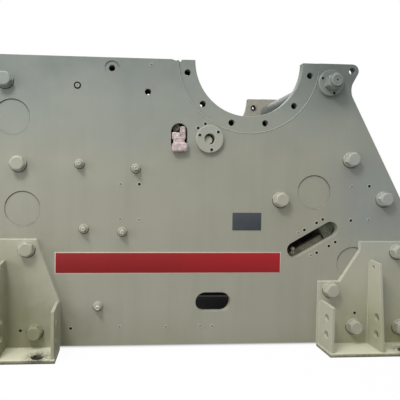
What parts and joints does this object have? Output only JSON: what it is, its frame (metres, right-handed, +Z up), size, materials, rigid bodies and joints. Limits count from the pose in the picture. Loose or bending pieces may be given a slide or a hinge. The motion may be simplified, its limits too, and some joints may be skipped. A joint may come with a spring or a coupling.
{
  "type": "jaw crusher frame",
  "caption": "Main frame of a stone jaw crusher: side plates with open bearing seats, ribbed end castings, toothed fixed jaw, liners, tie bar and welded feet",
  "frame": {"origin": "centre of the bounding box in plan, at floor level", "axes": "+X from the feed end to the toggle end, +Y to the right-hand side plate, +Z up"},
  "size_m": [3.732, 2.028, 2.374],
  "materials": {
    "frame_paint": "pale grey-green machine paint, satin",
    "wear_steel": "raw manganese steel casting",
    "dark_steel": "dark primed steel",
    "wrap_film": "pale wrapping film"
  },
  "bodies": {
    "root": {"side_plate_left": "frame_paint", "side_plate_right": "frame_paint", "frame_pins_left": "frame_paint", "frame_pins_right": "frame_paint", "tie_bar_washer_left": "frame_paint", "tie_bar_washer_right": "frame_paint", "tie_bar_nut_left": "frame_paint", "tie_bar_nut_right": "frame_paint", "round_flange_left": "frame_paint", "round_flange_right": "frame_paint", "upper_cheek_plate_left": "wear_steel", "upper_cheek_plate_right": "wear_steel", "lower_cheek_plate_left": "wear_steel", "lower_cheek_plate_right": "wear_steel", "front_foot_pad_left": "frame_paint", "front_foot_pad_right": "frame_paint", "front_foot_base_left": "frame_paint", "front_foot_base_right": "frame_paint", "front_foot_ribs_left": "frame_paint", "front_foot_ribs_right": "frame_paint", "rear_foot_pad_left": "frame_paint", "rear_foot_pad_right": "frame_paint", "rear_foot_base_left": "frame_paint", "rear_foot_base_right": "frame_paint", "rear_foot_ribs_left": "frame_paint", "rear_foot_ribs_right": "frame_paint", "beam_guide_left": "dark_steel", "beam_guide_right": "dark_steel", "front_end_casting": "frame_paint", "rear_end_casting": "frame_paint", "upper_tie_bar": "frame_paint", "upper_fixed_jaw_die": "wear_steel", "lower_fixed_jaw_die": "wear_steel", "toggle_beam": "dark_steel", "toggle_beam_shims": "dark_steel", "window_fitting": "wrap_film"}
  },
  "joints": []
}
